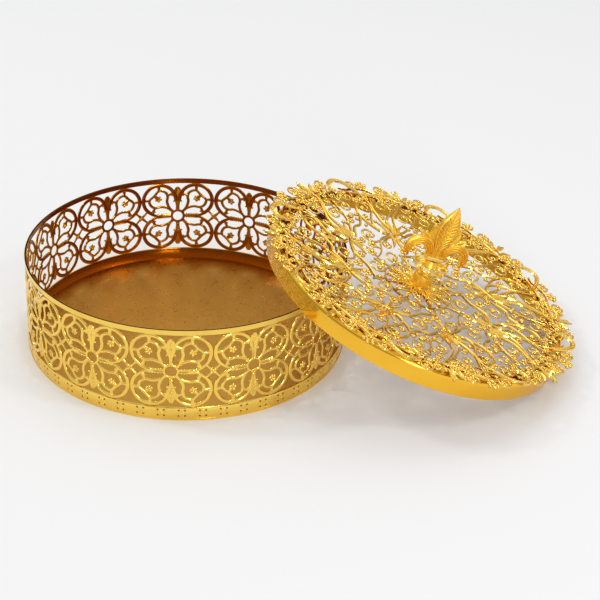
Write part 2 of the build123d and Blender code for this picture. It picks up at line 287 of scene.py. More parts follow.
print("dish:", DISH, "mm deep, from radius", round(RING_RADIUS - FLANGE, 2), "to", DISH_FLOOR)

# %% Onto the round wall
WALL_MIDDLE = 81.2


def on_wall(points):
    """Strip places in mm (along, up, out) bent to the round wall, as metres."""
    along, level, out = points.T
    angle = along / WALL_MIDDLE
    radius = WALL_MIDDLE + out
    return np.stack((radius * np.cos(angle), radius * np.sin(angle), level), axis=1) * MM


print("wall's middle radius:", WALL_MIDDLE, "mm")

# %% [markdown]
# ## Forms
# Cast lace is made of bars, pearls and small leaves. Each is drawn flat, as points
# and faces in millimetres, mirrored and repeated there, and only then bent onto the
# wall or laid on the lid. Curves with a bevel would also do, but arrays of points
# give every bar its own changing width and are fast enough for thousands of bars.


# %% Join, mirror and turn forms
def join(forms):
    """One form from many: all points, and faces by their number of corners."""
    points, faces, start = [], {}, 0
    for own_points, own_faces in forms:
        points.append(own_points)
        for corners, rows in own_faces.items():
            faces.setdefault(corners, []).append(rows + start)
        start += len(own_points)
    return np.vstack(points), {corners: np.vstack(rows) for corners, rows in faces.items()}


def mirrored(form, x=1, y=1):
    """The form scaled by 1 or -1 along x and y, its faces still facing out."""
    points, faces = form
    if x * y < 0:
        faces = {corners: rows[:, ::-1] for corners, rows in faces.items()}
    return points * (x, y, 1), faces


def moved(form, x=0.0, y=0.0, turn=0.0):
    """The form turned by degrees round its origin, then moved."""
    points, faces = form
    c, s = math.cos(math.radians(turn)), math.sin(math.radians(turn))
    spun = points @ np.array(((c, s, 0), (-s, c, 0), (0, 0, 1)))
    return spun + (x, y, 0), faces


triangle = (np.array([(0.0, 0, 0), (1, 0, 0), (0, 1, 0)]), {3: np.array([(0, 1, 2)])})
print("a mirrored triangle names its corners as", mirrored(triangle, -1)[1][3][0])


# %% Smooth lines
def smooth(points, closed=False, step=0.6):
    """A smooth line through a few points, as many short steps."""
    p = np.array(points, float)
    if closed:
        p = np.vstack((p[-1], p, p[0], p[1]))
    else:
        p = np.vstack((2 * p[0] - p[1], p, 2 * p[-1] - p[-2]))
    line = []
    for a, b, c, d in zip(p[:-3], p[1:-2], p[2:-1], p[3:]):
        count = max(2, round(float(np.linalg.norm(c - b)) / step))
        t = np.linspace(0, 1, count, endpoint=False)[:, None]
        curve = 2 * b + (c - a) * t + (2 * a - 5 * b + 4 * c - d) * t**2
        line.append(0.5 * (curve + (3 * b - a - 3 * c + d) * t**3))
    if not closed:
        line.append(p[-2:-1])
    return np.vstack(line)


def arc(x, y, radius, start, end, step=0.6):
    """A line along part of a circle, from one angle to another."""
    count = max(4, round(abs(end - start) * math.pi / 180 * radius / step))
    angles = np.radians(np.linspace(start, end, count + 1))
    return np.stack((x + radius * np.cos(angles), y + radius * np.sin(angles)), axis=1)


print("a ring of 10 mm has", len(arc(0, 0, 5, 0, 360)), "points")


# %% Sections of the bars
def with_left(right):
    """The right half of a section's top, given from the right, with its mirror added."""
    return [*right, *[(-x, y) for x, y in reversed(right) if x > 0]]


# Each outline runs from -1 to 1 both ways, anticlockwise.
EIGHTHS = np.arange(8) * math.pi / 4
ROUND = np.stack((np.cos(EIGHTHS), np.sin(EIGHTHS)), axis=1)
DOME = with_left([(1, -0.6), (1, -0.2), (0.8, 0.4), (0.45, 0.9), (0, 1)])
DOMED = np.array([*DOME, (-0.8, -1), (0.8, -1)])
RIBS = with_left([(1, 0), (0.8, 0.75), (0.55, 0.45), (0.3, 0.9), (0, 0.5)])
RIBBED = np.array([*RIBS, (-0.6, -0.6), (0.6, -0.6)])
GROOVE = with_left([(1, 0), (0.75, 0.9), (0.4, 0.75), (0, 0.15)])
GROOVED = np.array([*GROOVE, (-0.6, -0.6), (0.6, -0.6)])
print("corners: round", len(ROUND), "domed", len(DOMED), "ribbed", len(RIBBED))


# %% Bars
def grid_faces(rows, columns, rows_close, columns_close):
    """Square faces between the points of a grid, wrapped round where it closes."""
    i = np.arange(rows if rows_close else rows - 1)[:, None] * columns
    j = np.arange(columns if columns_close else columns - 1)[None, :]
    n = (i + columns) % (rows * columns)
    k = (j + 1) % columns
    return np.stack((i + j, n + j, n + k, i + k), axis=2).reshape(-1, 4)


def bar(line, width, height, level=0.0, closed=False, section=ROUND):
    """A bar along a flat line, its half sizes and level one value or one a point.

    A section has more than four corners, so that its ends don't mix with the sides."""
    count, corners = len(line), len(section)
    ahead = np.roll(line, -1, axis=0) - np.roll(line, 1, axis=0)
    if not closed:
        ahead[0], ahead[-1] = line[1] - line[0], line[-1] - line[-2]
    ahead /= np.linalg.norm(ahead, axis=1)[:, None]
    right = np.stack((ahead[:, 1], -ahead[:, 0]), axis=1)
    width, height, level = (
        np.broadcast_to(np.asarray(v, float), count)[:, None] for v in (width, height, level)
    )
    across = section[None, :, 0] * width
    flat = line[:, None, :] + right[:, None, :] * across[:, :, None]
    up = section[None, :, 1] * height + level
    points = np.concatenate((flat, up[:, :, None]), axis=2).reshape(-1, 3)
    faces = {4: grid_faces(count, corners, closed, True)}
    if not closed:
        cap = np.arange(corners)
        faces[corners] = np.stack((cap, (cap + (count - 1) * corners)[::-1]))
    return points, faces


def tapered(line, sizes):
    """Half widths along a line, between a few sizes spread evenly over its length."""
    return np.interp(np.linspace(0, 1, len(line)), np.linspace(0, 1, len(sizes)), sizes)


print("a straight bar of 10 mm has", len(bar(smooth([(0, 0), (10, 0)]), 1, 1)[0]), "points")


# %% Unit balls
def ball(rows):
    """A unit ball of square faces, its cube's sides divided into rows."""
    grid = np.tan(np.linspace(-1, 1, rows + 1) * math.pi / 4)
    points, quads = [], []
    for axis in range(3):
        for side in (-1, 1):
            start = len(points)
            for a in grid:
                for b in grid:
                    points.append(np.roll((side, a, b), axis))
            for m in range(rows):
                for n in range(rows):
                    first = start + m * (rows + 1) + n
                    quad = [first, first + rows + 1, first + rows + 2, first + 1]
                    quads.append(quad if side > 0 else quad[::-1])
    points = np.array(points)
    points /= np.linalg.norm(points, axis=1)[:, None]
    _, kept, same = np.unique(points.round(6), axis=0, return_index=True, return_inverse=True)
    return points[kept], {4: same.reshape(-1)[np.array(quads)]}


PEARL = ball(3)
BEAD = ball(2)
print("a pearl has", len(PEARL[0]), "points, a small bead", len(BEAD[0]))


# %% Pearls and leaves
def pearl(x, y, radius, level=0.0, flat=1.0, unit=None):
    """A pearl of a radius, or a flatter drop, with its middle at a level."""
    points, faces = unit or PEARL
    return points * (radius, radius, radius * flat) + (x, y, level), faces


def leaf(start, end, width, height, bend, level):
    """A pointed, ribbed leaf between two places, bent aside by a share of its length."""
    start, end = np.array(start, float), np.array(end, float)
    along = end - start
    middle = (start + end) / 2 + bend * np.array((along[1], -along[0]))
    line = smooth((start, middle, end), step=0.5)
    grow = tapered(line, (0.35, 0.85, 1.0, 0.9, 0.6, 0.08))
    return bar(line, width * grow, height * (0.4 + 0.6 * grow), level, section=RIBBED)


print("a leaf of 10 mm has", len(leaf((0, 0), (10, 0), 1, 1, 0, 0)[0]), "points")


# %% Turned pieces
def turned(profile, steps, lobed=None):
    """A profile of (radius, level) spun round the axis, its radius scaled by lobed."""
    profile = np.array(profile, float)
    closed = bool(np.allclose(profile[0], profile[-1]))
    if closed:
        profile = profile[:-1]
    angles = np.arange(steps) * 2 * math.pi / steps
    radius = np.broadcast_to(profile[:, 0], (steps, len(profile)))
    if lobed:
        share = np.linspace(0, 1, len(profile))
        radius = radius * lobed(angles[:, None], share[None, :])
    level = np.broadcast_to(profile[:, 1], (steps, len(profile)))
    turn = angles[:, None]
    points = np.stack((radius * np.cos(turn), radius * np.sin(turn), level), axis=2)
    rows = len(profile)
    faces = {4: grid_faces(steps, rows, True, closed)}
    if not closed:
        lower = np.arange(steps) * rows
        faces[steps] = np.stack((lower[::-1], lower + rows - 1))
    return points.reshape(-1, 3), faces


print("a cone spun in 8 steps has", len(turned([(2, 0), (1, 1)], 8)[0]), "points")


# %% Profiles
def rounded(profile, rounds, steps=4):
    """The profile with each corner given a radius, 0 for a sharp one."""
    points = []
    for i, (corner, radius) in enumerate(zip(profile, rounds)):
        corner = np.array(corner, float)
        if radius == 0 or i in (0, len(profile) - 1):
            points.append(corner)
            continue
        before = np.array(profile[i - 1], float) - corner
        after = np.array(profile[i + 1], float) - corner
        cut = min(radius, np.linalg.norm(before) * 0.45, np.linalg.norm(after) * 0.45)
        start = corner + before / np.linalg.norm(before) * cut
        end = corner + after / np.linalg.norm(after) * cut
        for t in np.linspace(0, 1, steps + 1):
            points.append((1 - t) ** 2 * start + 2 * t * (1 - t) * corner + t**2 * end)
    return points


def flat_ring(inner, outer, low, high):
    """The profile of a flat ring between two radii and two levels."""
    return [(inner, low), (outer, low), (outer, high), (inner, high), (inner, low)]


bend = rounded([(0, 0), (1, 0), (1, 1)], (0, 1, 0))
print("a corner rounded in 4 steps has", len(bend) - 2, "points")

# %% Make a piece from forms
SHARP_ANGLE = math.radians(50)


def piece(name, forms, place, material, body, node):
    """Builds one object from flat forms, hangs it on its body and hides the CAD node it stands for.
    """
    points, faces = join(forms)
    points = place(points)
    mesh = bpy.data.meshes.new(name)
    loops = np.concatenate([rows.ravel() for rows in faces.values()])
    sizes = np.concatenate([np.full(len(rows), corners) for corners, rows in faces.items()])
    starts = np.concatenate(((0,), np.cumsum(sizes)[:-1]))
    mesh.vertices.add(len(points))
    mesh.vertices.foreach_set("co", points.astype(np.float32).ravel())
    mesh.loops.add(len(loops))
    mesh.loops.foreach_set("vertex_index", loops.astype(np.int32))
    mesh.polygons.add(len(sizes))
    mesh.polygons.foreach_set("loop_start", starts.astype(np.int32))
    mesh.update(calc_edges=True)
    mesh.validate()
    mesh.shade_smooth()
    mesh.set_sharp_from_angle(angle=SHARP_ANGLE)
    mesh.materials.append(material)
    made = placed(name, mesh)
    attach(made, body)
    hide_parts(node)
    print(name, len(points), "points", len(sizes), "faces")


print("edges stay sharp over", round(math.degrees(SHARP_ANGLE)), "degrees")

# %% [markdown]
# ## The wall's strip
# The wall is one long cast strip with plain edges. A column of two roundels repeats
# round it, mirrored in every second column, so one quarter of a pattern square is
# drawn and the rest follows by mirroring. The real strip could also be drawn as one
# picture and embossed, but bars with real depth catch the light from all sides.

# %% Sizes of the strip
BOX_HEIGHT = 50.0
BOX_RADIUS = 81.7
BAND_TOP = 2.6
BAND_BOTTOM = 7.3
SEAM_AZIMUTH = math.radians(13.0)
SEAM_ANGLE = 5.2 / BOX_RADIUS
COLUMNS = 25
STRIP = (2 * math.pi - SEAM_ANGLE) * WALL_MIDDLE
PITCH = STRIP / COLUMNS
ROW = (BOX_HEIGHT - BAND_TOP - BAND_BOTTOM) / 2
LACE_MIDDLE = BAND_BOTTOM + ROW
FIRST = (SEAM_AZIMUTH + SEAM_ANGLE / 2) * WALL_MIDDLE
print("columns:", COLUMNS, "pitch:", round(PITCH, 3), "mm, row:", round(ROW, 3), "mm")

# %% The roundel's ring
X = PITCH / 2
Y = ROW / 2
RING_LINE = 9.05


def near(points):
    """Points given from the roundel's centre, as points from the square's middle."""
    return [(x + X, y + Y) for x, y in points]


def both(points):
    """A line and its mirror across the roundel's diagonal."""
    return points, [(y, x) for x, y in points]


def open_ring():
    """The roundel's ring. Its lower end swings out and melts into the level stem."""
    angles = np.linspace(-94, 184, 84)
    swing = 1.15 * np.clip((-48 - angles) / 46, 0, 1) ** 1.4
    reach = RING_LINE + swing
    turn = np.radians(angles)
    line = np.stack((X + reach * np.cos(turn), Y + reach * np.sin(turn)), axis=1)
    widths = tapered(line, (0.6, 1, 1.05, 1.05, 1.05, 1.05, 1.05, 0.95))
    return bar(line, widths, 0.44, section=DOMED)


print("ring line:", RING_LINE, "mm from the roundel's centre")


# %% One quarter of a pattern square
def strokes(lines, widths, height):
    """A bar along each line of places given from the roundel's centre."""
    paths = [smooth(near(line)) for line in lines]
    return [bar(path, tapered(path, widths), height) for path in paths]


def quarter():
    """The upper right quarter of the square: a roundel with its heart, bud and stems."""
    forms = [open_ring()]
    # The heart, its point towards the square's middle and its cleft away from it.
    half = [(-5.6, -5.6), (-4.8, -3.6), (-4.2, -0.9), (-4.6, 1.6), (-3.9, 3.9), (-2.0, 5.3)]
    half += [(0.3, 5.5), (2.8, 2.8)]
    heart = half + [(y, x) for x, y in reversed(half[1:-1])]
    forms.append(bar(smooth(near(heart), closed=True), 0.82, 0.42, 0.02, closed=True))
    # Necks from the heart's lobes, sides and point to the rings.
    forms += strokes(both([(0.3, 5.5), (0.2, 6.9), (0.4, 8.6)]), (0.85, 0.75, 0.95, 1.4), 0.4)
    forms += strokes(both([(-4.8, 2.6), (-6.3, 3.3), (-8.0, 4.1)]), (0.85, 0.75, 1.0), 0.4)
    forms += strokes([[(-5.4, -5.4), (-6.6, -6.6), (-7.8, -7.8)]], (1.0, 0.85, 1.1), 0.42)
    # The flower inside the heart, and the stalk that ties it to the cleft.
    for turn in range(5):
        angle = math.radians(45 + 72 * turn)
        x, y = 0.5 + 1.25 * math.cos(angle), 0.5 + 1.25 * math.sin(angle)
        forms.append(pearl(X + x, Y + y, 0.82, 0.1, 0.55, BEAD))
    forms.append(pearl(X + 0.5, Y + 0.5, 0.7, 0.25, 0.6, BEAD))
    forms += strokes([[(0.9, 0.9), (2.0, 2.0), (3.0, 3.0)]], (1.3, 1.0, 0.8), 0.36)
    # Short leaves that leave the ring on either side of the heart's point.
    forms += strokes(both([(2.4, -6.6), (3.4, -7.4), (4.2, -8.4)]), (0.9, 0.7, 0.5), 0.34)
    return forms


print("forms in a quarter:", len(quarter()))


# %% Stems between the roundels
def axis_stems(y):
    """The stems on the square's upright axis above its middle, y 1, or below it, y -1."""
    levels = (3.4, 6, 8, 10, 12, 14, 16.4, 17.6)
    path = smooth([(0, level) for level in levels])
    width = np.interp(path[:, 1], levels, (1.1, 1.0, 1.3, 2.0, 2.5, 2.4, 1.7, 1.0))
    forms = [bar(path, width, 0.4, section=GROOVED)]
    for level, size in ((12.0, 0.55), (15.0, 0.45), (17.4, 0.55)):
        forms.append(pearl(0, level, size, 0.25, 0.6, BEAD))
    if y < 0:
        forms.append(pearl(0, 5.3, 1.15, 0.15, 0.5))
    for side in (-1, 1):
        forms.append(pearl(side * 2.0, 8.9, 0.6, 0.15, 0.7, BEAD))
        forms.append(pearl(side * 1.5, 10.2, 0.5, 0.15, 0.7, BEAD))
    return [mirrored(form, 1, y) for form in forms]


def cross_stems():
    """The stem on the square's level axis to its right, with pearls and a knob."""
    path = smooth([(3.5, 0), (6, 0), (8, 0), (10.2, 0), (12.4, 0)])
    forms = [bar(path, tapered(path, (1.0, 1.1, 1.25, 1.5, 1.0)), 0.4, section=GROOVED)]
    for x in (4.9, 6.2, 7.5, 8.8):
        for y in (-1.1, 1.1):
            forms.append(pearl(x, y, 0.46, 0.2, 0.8, BEAD))
    forms.append(pearl(10.6, 0, 1.55, 0.15, 0.35))
    forms.append(pearl(10.6, 0, 0.6, 0.35, 0.5, BEAD))
    return forms


def junction():
    """The small flower between four roundels, on short arms that reach their rings."""
    forms = [pearl(0, 0, 0.8, 0.25, 0.6, BEAD)]
    for turn in range(4):
        angle = math.radians(45 + 90 * turn)
        c, s = math.cos(angle), math.sin(angle)
        forms.append(pearl(1.2 * c, 1.2 * s, 0.95, 0.1, 0.5, BEAD))
        arm = smooth([(0.8 * c, 0.8 * s), (3.0 * c, 3.0 * s), (5.2 * c, 5.2 * s)])
        forms.append(bar(arm, tapered(arm, (0.9, 0.6, 0.8)), 0.36))
    return forms


print("forms in the stems:", len(axis_stems(1) + axis_stems(-1) + cross_stems()))

# %% Repeat the strip round the box
right_half = cross_stems() + [mirrored(form, 1, y) for form in quarter() for y in (-1, 1)]
centre_line = arc(0, 0, 3.35, 0, 360, 0.45)[:-1]
centre_ring = bar(centre_line, 0.72, 0.44, closed=True, section=DOMED)
middle = [centre_ring, *axis_stems(1), *axis_stems(-1)]
square = join(middle + right_half + [mirrored(form, -1, 1) for form in right_half])
strip = [moved(join(right_half), FIRST, LACE_MIDDLE)]
for number in range(2, COLUMNS, 2):
    strip.append(moved(square, FIRST + number * PITCH, LACE_MIDDLE))
for number in range(1, COLUMNS, 2):
    strip.append(moved(join(junction()), FIRST + number * PITCH, LACE_MIDDLE))
print("one square has", len(square[0]), "points")

# %% Bands above and below the lace
BAND_SECTION = np.array(
    [(-1, -0.8), (-0.97, -1), (0.97, -1), (1, -0.8), (1, 0.8), (0.97, 1), (-0.97, 1), (-1, 0.8)]
)
BAND_THICK = 0.42
BEADING_THICK = 0.5
BAND_STEPS = 361
SEAM_LINE = SEAM_AZIMUTH * WALL_MIDDLE
SEAM_GAP = 0.06


def edge_band(low, high, out):
    """A plain band of the strip between two levels, open by a fine line at the seam."""
    start = SEAM_LINE + SEAM_GAP
    end = SEAM_LINE + 2 * math.pi * WALL_MIDDLE - SEAM_GAP
    along = np.linspace(start, end, BAND_STEPS)
    line = np.stack((along, np.full(BAND_STEPS, (low + high) / 2)), axis=1)
    return bar(line, (high - low) / 2, out, section=BAND_SECTION)


strip.append(edge_band(BOX_HEIGHT - BAND_TOP, BOX_HEIGHT, BAND_THICK))
strip.append(edge_band(0, BAND_BOTTOM, BAND_THICK))
strip.append(edge_band(BOX_HEIGHT - 0.9, BOX_HEIGHT, BEADING_THICK))
strip.append(edge_band(0, 1.0, BEADING_THICK))
print("bands:", BAND_TOP, "and", BAND_BOTTOM, "mm wide")

# %% Plain posts at the seam
POST_LAP = 0.5

post = SEAM_ANGLE * WALL_MIDDLE / 4
for side in (-1, 1):
    x = SEAM_LINE + side * (post + SEAM_GAP)
    foot, head = BAND_BOTTOM - POST_LAP, BOX_HEIGHT - BAND_TOP + POST_LAP
    upright_line = np.array([(x, foot), (x, LACE_MIDDLE), (x, head)])
    strip.append(bar(upright_line, post - SEAM_GAP, BAND_THICK, section=BAND_SECTION))
print("each post is", round(2 * post, 2), "mm wide")

# %% Small beads on the lower band
BEAD_LEVEL = 4.1
BEAD_STEP = 1.1

for column in range(COLUMNS):
    middle = FIRST + (column + 0.5) * PITCH
    for x in (-BEAD_STEP, 0, BEAD_STEP):
        for level in (BEAD_LEVEL - BEAD_STEP, BEAD_LEVEL, BEAD_LEVEL + BEAD_STEP):
            for half_pitch in (-PITCH / 4, PITCH / 4):
                strip.append(pearl(middle + half_pitch + x, level, 0.36, 0.4, 0.6, BEAD))
print("beads:", COLUMNS * 18)

# %% [markdown]
# ## The wall's finish and painted shade
# The strip gets painted shade: it is darker between its bars and on its inner face,
# and in the dots that are punched in fours along its lower band, where the mesh has no
# pits. Both could be painted into an image, but a mask from the place on the strip
# keeps them sharp at any distance: it unrolls the wall to millimetres and measures how
# far each place is from the nearest dot.


# %% Where shade is painted on the wall
DOT_APART = 1.53
DOT_EDGE = (0.42, 0.62)


def wall_shade_mask(tree, place):
    """1 on the strip's outer face, 0 as painted shade between its bars, on its inner face and in
    the band's dots.
    """
    split = add_node(tree, "SeparateXYZ", {}, {0: place}).outputs
    flat = add_node(tree, "CombineXYZ", {}, {0: split[0], 1: split[1]}).outputs[0]
    radius = add_node(tree, "VectorMath", {}, {0: flat}, operation="LENGTH").outputs["Value"]
    # Painted shade: the colour darkens deeper in the strip, between its bars and on its inner face.
    depths = {"From Min": (WALL_MIDDLE - 0.45) * MM, "From Max": (WALL_MIDDLE + 0.15) * MM}
    face = add_node(tree, "MapRange", depths, {"Value": radius}).outputs[0]
    turn = add_node(tree, "Math", {}, {0: split[1], 1: split[0]}, operation="ARCTAN2").outputs[0]
    unrolled = add_node(tree, "CombineXYZ", {}, {0: turn, 1: split[2]}).outputs[0]
    spread = PITCH / 4
    for operation, values in (
        ("MULTIPLY", {1: (WALL_MIDDLE, 1 / MM, 0)}),
        ("SUBTRACT", {1: (FIRST + spread, BEAD_LEVEL, 0)}),
        ("WRAP", {1: (spread, 100, 1), 2: (-spread, -100, -1)}),
        ("ABSOLUTE", {}),
        ("SUBTRACT", {1: (spread - DOT_APART, DOT_APART, 0)}),
    ):
        step = add_node(tree, "VectorMath", values, {0: unrolled}, operation=operation)
        unrolled = step.outputs[0]
    dot = add_node(tree, "VectorMath", {}, {0: unrolled}, operation="LENGTH").outputs["Value"]
    # Painted shade: each dot of the band is dark.
    edges = {"From Min": DOT_EDGE[0], "From Max": DOT_EDGE[1]}
    dot_shade = add_node(tree, "MapRange", edges, {"Value": dot}).outputs[0]
    return add_node(tree, "Math", {}, {0: face, 1: dot_shade}, operation="MULTIPLY").outputs[0]


print("each dot lies", DOT_APART, "mm along and", DOT_APART, "mm up or down from its four's middle")

# %% The wall
# Cast brass, tumbled and plated: crisp small glints on the bars, painted shade as a
# deep warm tone in the gaps and dots, and a fine unevenness that breaks every reflection.
lace_gilt = gilt("cast_gilt_brass_lace", "#FFD765", "#A35E18", 0.11, 1.6, 1.0, wall_shade_mask)
piece("openwork_wall", strip, on_wall, lace_gilt, "box", "pierced_wall")

# %% [markdown]
# ## The lid's ring
# A spun sheet ring: a plain side, a round shoulder and a flat flange that carries
# the filigree. Spinning makes every section alike, so one profile turned round the
# axis draws it. A screw modifier would do the same, with less say over the corners.

# %% Ring
SHEET = 0.9
foot = (RING_RADIUS - SHEET / 2, 0)
lip, inside, under = RING_RADIUS - FLANGE, RING_RADIUS - SHEET, RING_HEIGHT - SHEET
corners = [foot, (RING_RADIUS, 0), (RING_RADIUS, RING_HEIGHT), (lip, RING_HEIGHT)]
corners += [(lip, under), (inside, under), (inside, 0), foot]
ring_profile = rounded(corners, [0, 0.3, 3.6, 0.4, 0.2, 2.6, 0.3, 0], 10)
# Spun brass, satin finished before plating: a calm and nearly even warm yellow.
ring_gilt = gilt("spun_satin_gilt_brass", "#FAC23C", "#D6902A", 0.16, 9.0, 0.0)
skirt = turned(ring_profile, 256)
piece("lid_skirt", [skirt], on_lid, ring_gilt, "lid", "lid_ring")

# %% [markdown]
# ## The filigree
# The lid's top is a casting of stems that scroll out from eight bunches to an edge of
# loops, pearl clusters and leaf tips. Eight equal sectors make the round, so one is
# drawn and turned seven times. Its main stems are traced as a few places, each a
# radius and an angle. A picture of the lace could be embossed on a disc instead, but
# the light has to pass through this one and its wires have to look round.

# %% Places on the lid
SECTORS = 8
SECTOR = 360 / SECTORS
LACE_LEVEL = RING_HEIGHT + 0.65


def spot(radius, angle):
    """A radius and an angle in degrees as a flat place on the lid."""
    return radius * math.cos(math.radians(angle)), radius * math.sin(math.radians(angle))


def plan(places):
    """Several places given as (radius, angle)."""
    return [spot(radius, angle) for radius, angle in places]


print("sectors:", SECTORS, "of", SECTOR, "degrees")

# %% Stems of one sector
STEMS = {
    "inner": [(43.1, 20.8), (40.3, 28.5), (37.2, 37), (32.5, 42.5), (28.1, 49.7), (25.6, 67.5)],
    "coil": [
        (43.1, 27.9), (47.6, 34.2), (52.8, 37.9), (58.4, 38.7), (63.6, 37.5), (66.5, 34.6),
        (66.1, 31.4), (63.3, 30.2), (61.5, 32), (63, 34),
    ],
    "loop": [(45.9, 20.6), (52.4, 25.3), (59.7, 27.1), (68, 27.7), (73.7, 29.9)],
    "swan": [(36.9, 77.4), (40.7, 70.2), (45.7, 59), (52.8, 52.3), (59.5, 49.6), (70, 48.5)],
    "tip": [
        (44.6, 69.6), (53.1, 66.9), (59.9, 63.7), (66.9, 58.9), (72.4, 55.8), (78.1, 55.7),
        (83.4, 56.3), (86.4, 55.8),
    ],
    "arch": [
        (44.9, 68.5), (43.4, 72.1), (45.3, 77.2), (50.8, 78.4), (57.3, 75.6), (62.6, 72.5),
        (68.8, 71.1), (75, 70),
    ],
    "next_coil": [
        (43.7, 102.2), (48.5, 95.9), (49.7, 89.4), (55.7, 84.5), (62.2, 82.6), (66.6, 79.4),
        (67.6, 75.4), (64.4, 73.2), (61, 74.6), (61.4, 77.4), (64.2, 77.2),
    ],
    "outer": [
        (44.2, 102.6), (51, 106.5), (58.8, 106.5), (66, 103.1), (72.4, 99.8), (76.7, 96.2),
        (78.8, 93.3),
    ],
    "rim": [(81.6, 45.5), (78.8, 52), (80.6, 58), (78.0, 65), (80.6, 72), (78.8, 80), (80.2, 83)],
    "belt": [(76.5, 46), (75.2, 54), (76.2, 63), (75, 72), (76.3, 82), (76.2, 90.5)],
}
sector = []
stem_places = []
for name, points in STEMS.items():
    path = smooth(plan(points))
    stem_places.append(path)
    rise = 0.5 * np.sin(np.linspace(0, math.pi, len(path)))
    sizes = tapered(path, (0.95, 0.85, 0.75, 0.65, 0.45))
    sector.append(bar(path, sizes, 0.7, LACE_LEVEL + rise, section=GROOVED))
print("stems:", list(STEMS))

# %% The large loop at the edge
HOOK = [
    (69, 27.9), (74, 29.9), (79, 32.6), (83.4, 36.2), (84.2, 40.2), (80.6, 43.2), (75.6, 42.8),
    (73.6, 39.8), (75.6, 37.6),
]
hook = smooth(plan(HOOK))
raised = LACE_LEVEL + 2.0 * np.sin(np.linspace(0, math.pi, len(hook)))
hook_widths = tapered(hook, (0.5, 0.8, 1.2, 1.5, 1.6, 1.5, 1.1, 0.6))
sector.append(bar(hook, hook_widths, 0.75, raised, section=GROOVED))
sector.append(pearl(*hook[-1], 1.3, LACE_LEVEL + 0.4, 0.85))
for here in range(12, len(hook) - 6, 3):
    sector.append(pearl(*hook[here], 0.5, raised[here] + 0.35, 0.8, BEAD))
print("the loop rises by", round(float(raised.max()) - LACE_LEVEL, 1), "mm")


# %% Coils, flowers and stalks
COIL_TURN = math.radians(460)


def coil(stem, middle, size, side):
    """A wire that leaves a stem, winds round a middle and ends in a ball."""
    first = stem - middle
    reach = np.linalg.norm(first)
    share = np.linspace(0, 1, 13)
    angle = math.atan2(first[1], first[0]) + side * share * COIL_TURN
    radius = size * (0.82 - 0.5 * share) + (reach - size * 0.82) * np.exp(-7 * share)
    line = middle + np.stack((radius * np.cos(angle), radius * np.sin(angle)), axis=1)
    path = smooth(line, step=0.9)
    level = LACE_LEVEL + 0.1 + 0.5 * np.linspace(0, 1, len(path))
    width = 0.4 + 0.05 * size
    forms = [bar(path, tapered(path, (width, width, 0.42)), 0.5, level)]
    forms.append(pearl(*path[-1], 0.18 * size + 0.38, LACE_LEVEL + 0.75, 0.85))
    return forms


def flower(x, y, size, turn, level=LACE_LEVEL + 0.6):
    """A small flower of five round petals about a pearl."""
    forms = [pearl(x, y, size * 0.36, level + size * 0.25, 0.9, BEAD)]
    for petal in range(5):
        px, py = spot(size * 0.62, turn + 72 * petal)
        forms.append(pearl(x + px, y + py, size * 0.4, level, 0.6, BEAD))
    return forms


def stalk(start, end, width):
    """A short straight wire of a half width between two places."""
    line = np.stack((start, (start + end) / 2, end))
    return bar(line, width, 0.45, LACE_LEVEL + 0.1)


def turned_place(place, degrees):
    """A flat place turned round the lid's axis."""
    c, s = math.cos(math.radians(degrees)), math.sin(math.radians(degrees))
    return np.asarray(place) @ np.array(((c, s), (-s, c)))


print("a flower is made of", len(flower(0, 0, 2, 0)), "pearls")

# %% Balls and large flowers
BALLS = [(56.8, 45.4, 1.7), (76.9, 47.7, 1.8), (63, 33.4, 1.6), (52, 8, 1.4)]
BALL_STALK = [(57.6, 50.2), (56.8, 45.4)]
FLOWERS = [
    (74.6, 50.6, 2.4), (80.3, 50.3, 2.6), (82.6, 25.9, 2.8), (77.9, 62.6, 2.5),
    (82.4, 60.5, 2.3), (76, 22.0, 2.3), (79.4, 18.0, 2.4), (79, 6.0, 2.5),
]
CLUSTER = [(86.3, 25.9), (85.1, 27.5), (85.1, 24.3)]
taken = []
for radius, angle, size in BALLS:
    x, y = spot(radius, angle)
    taken.append((x, y, size))
    sector.append(pearl(x, y, size, LACE_LEVEL + 0.5, 0.8))
sector.append(stalk(*np.array(plan(BALL_STALK)), 0.5))
for radius, angle, size in FLOWERS:
    x, y = spot(radius, angle)
    taken.append((x, y, size))
    sector += flower(x, y, size, angle)
for x, y in plan(CLUSTER):
    sector.append(pearl(x, y, 1.2, LACE_LEVEL + 0.6, 0.9))
print("balls:", len(BALLS), "large flowers:", len(FLOWERS))

# %% Loops, leaves and beads near the edge
EDGE_LOOPS = (1.5, 18.4, 31.2)
LEAVES = [
    ((43, 21), (55, 22), 1.3, 0.06), ((43, 17), (53, 12), 1.1, -0.1),
    ((43, 25), (52, 30), 1.1, 0.1), ((43, 19), (54, 17), 1.0, -0.05),
    ((40, 20), (31, 14), 1.1, 0.1), ((42.2, 23.3), (31, 28), 1.1, -0.1),
    ((79, 10.8), (88, 10.8), 1.7, 0.0), ((77, 13.5), (85, 15.4), 1.4, 0.1),
    ((77, 8), (85, 6.2), 1.4, -0.1), ((79, 55), (86, 57.5), 1.3, 0.1),
]
HOOK_PLACE = (79.0, 38.2)
BEAD_ROW = 71.2
# The row leaves out 3 and 9 degrees, where no wire runs for a bead to sit on.
BEAD_ANGLES = (0, 6, *range(12, 45, 3))

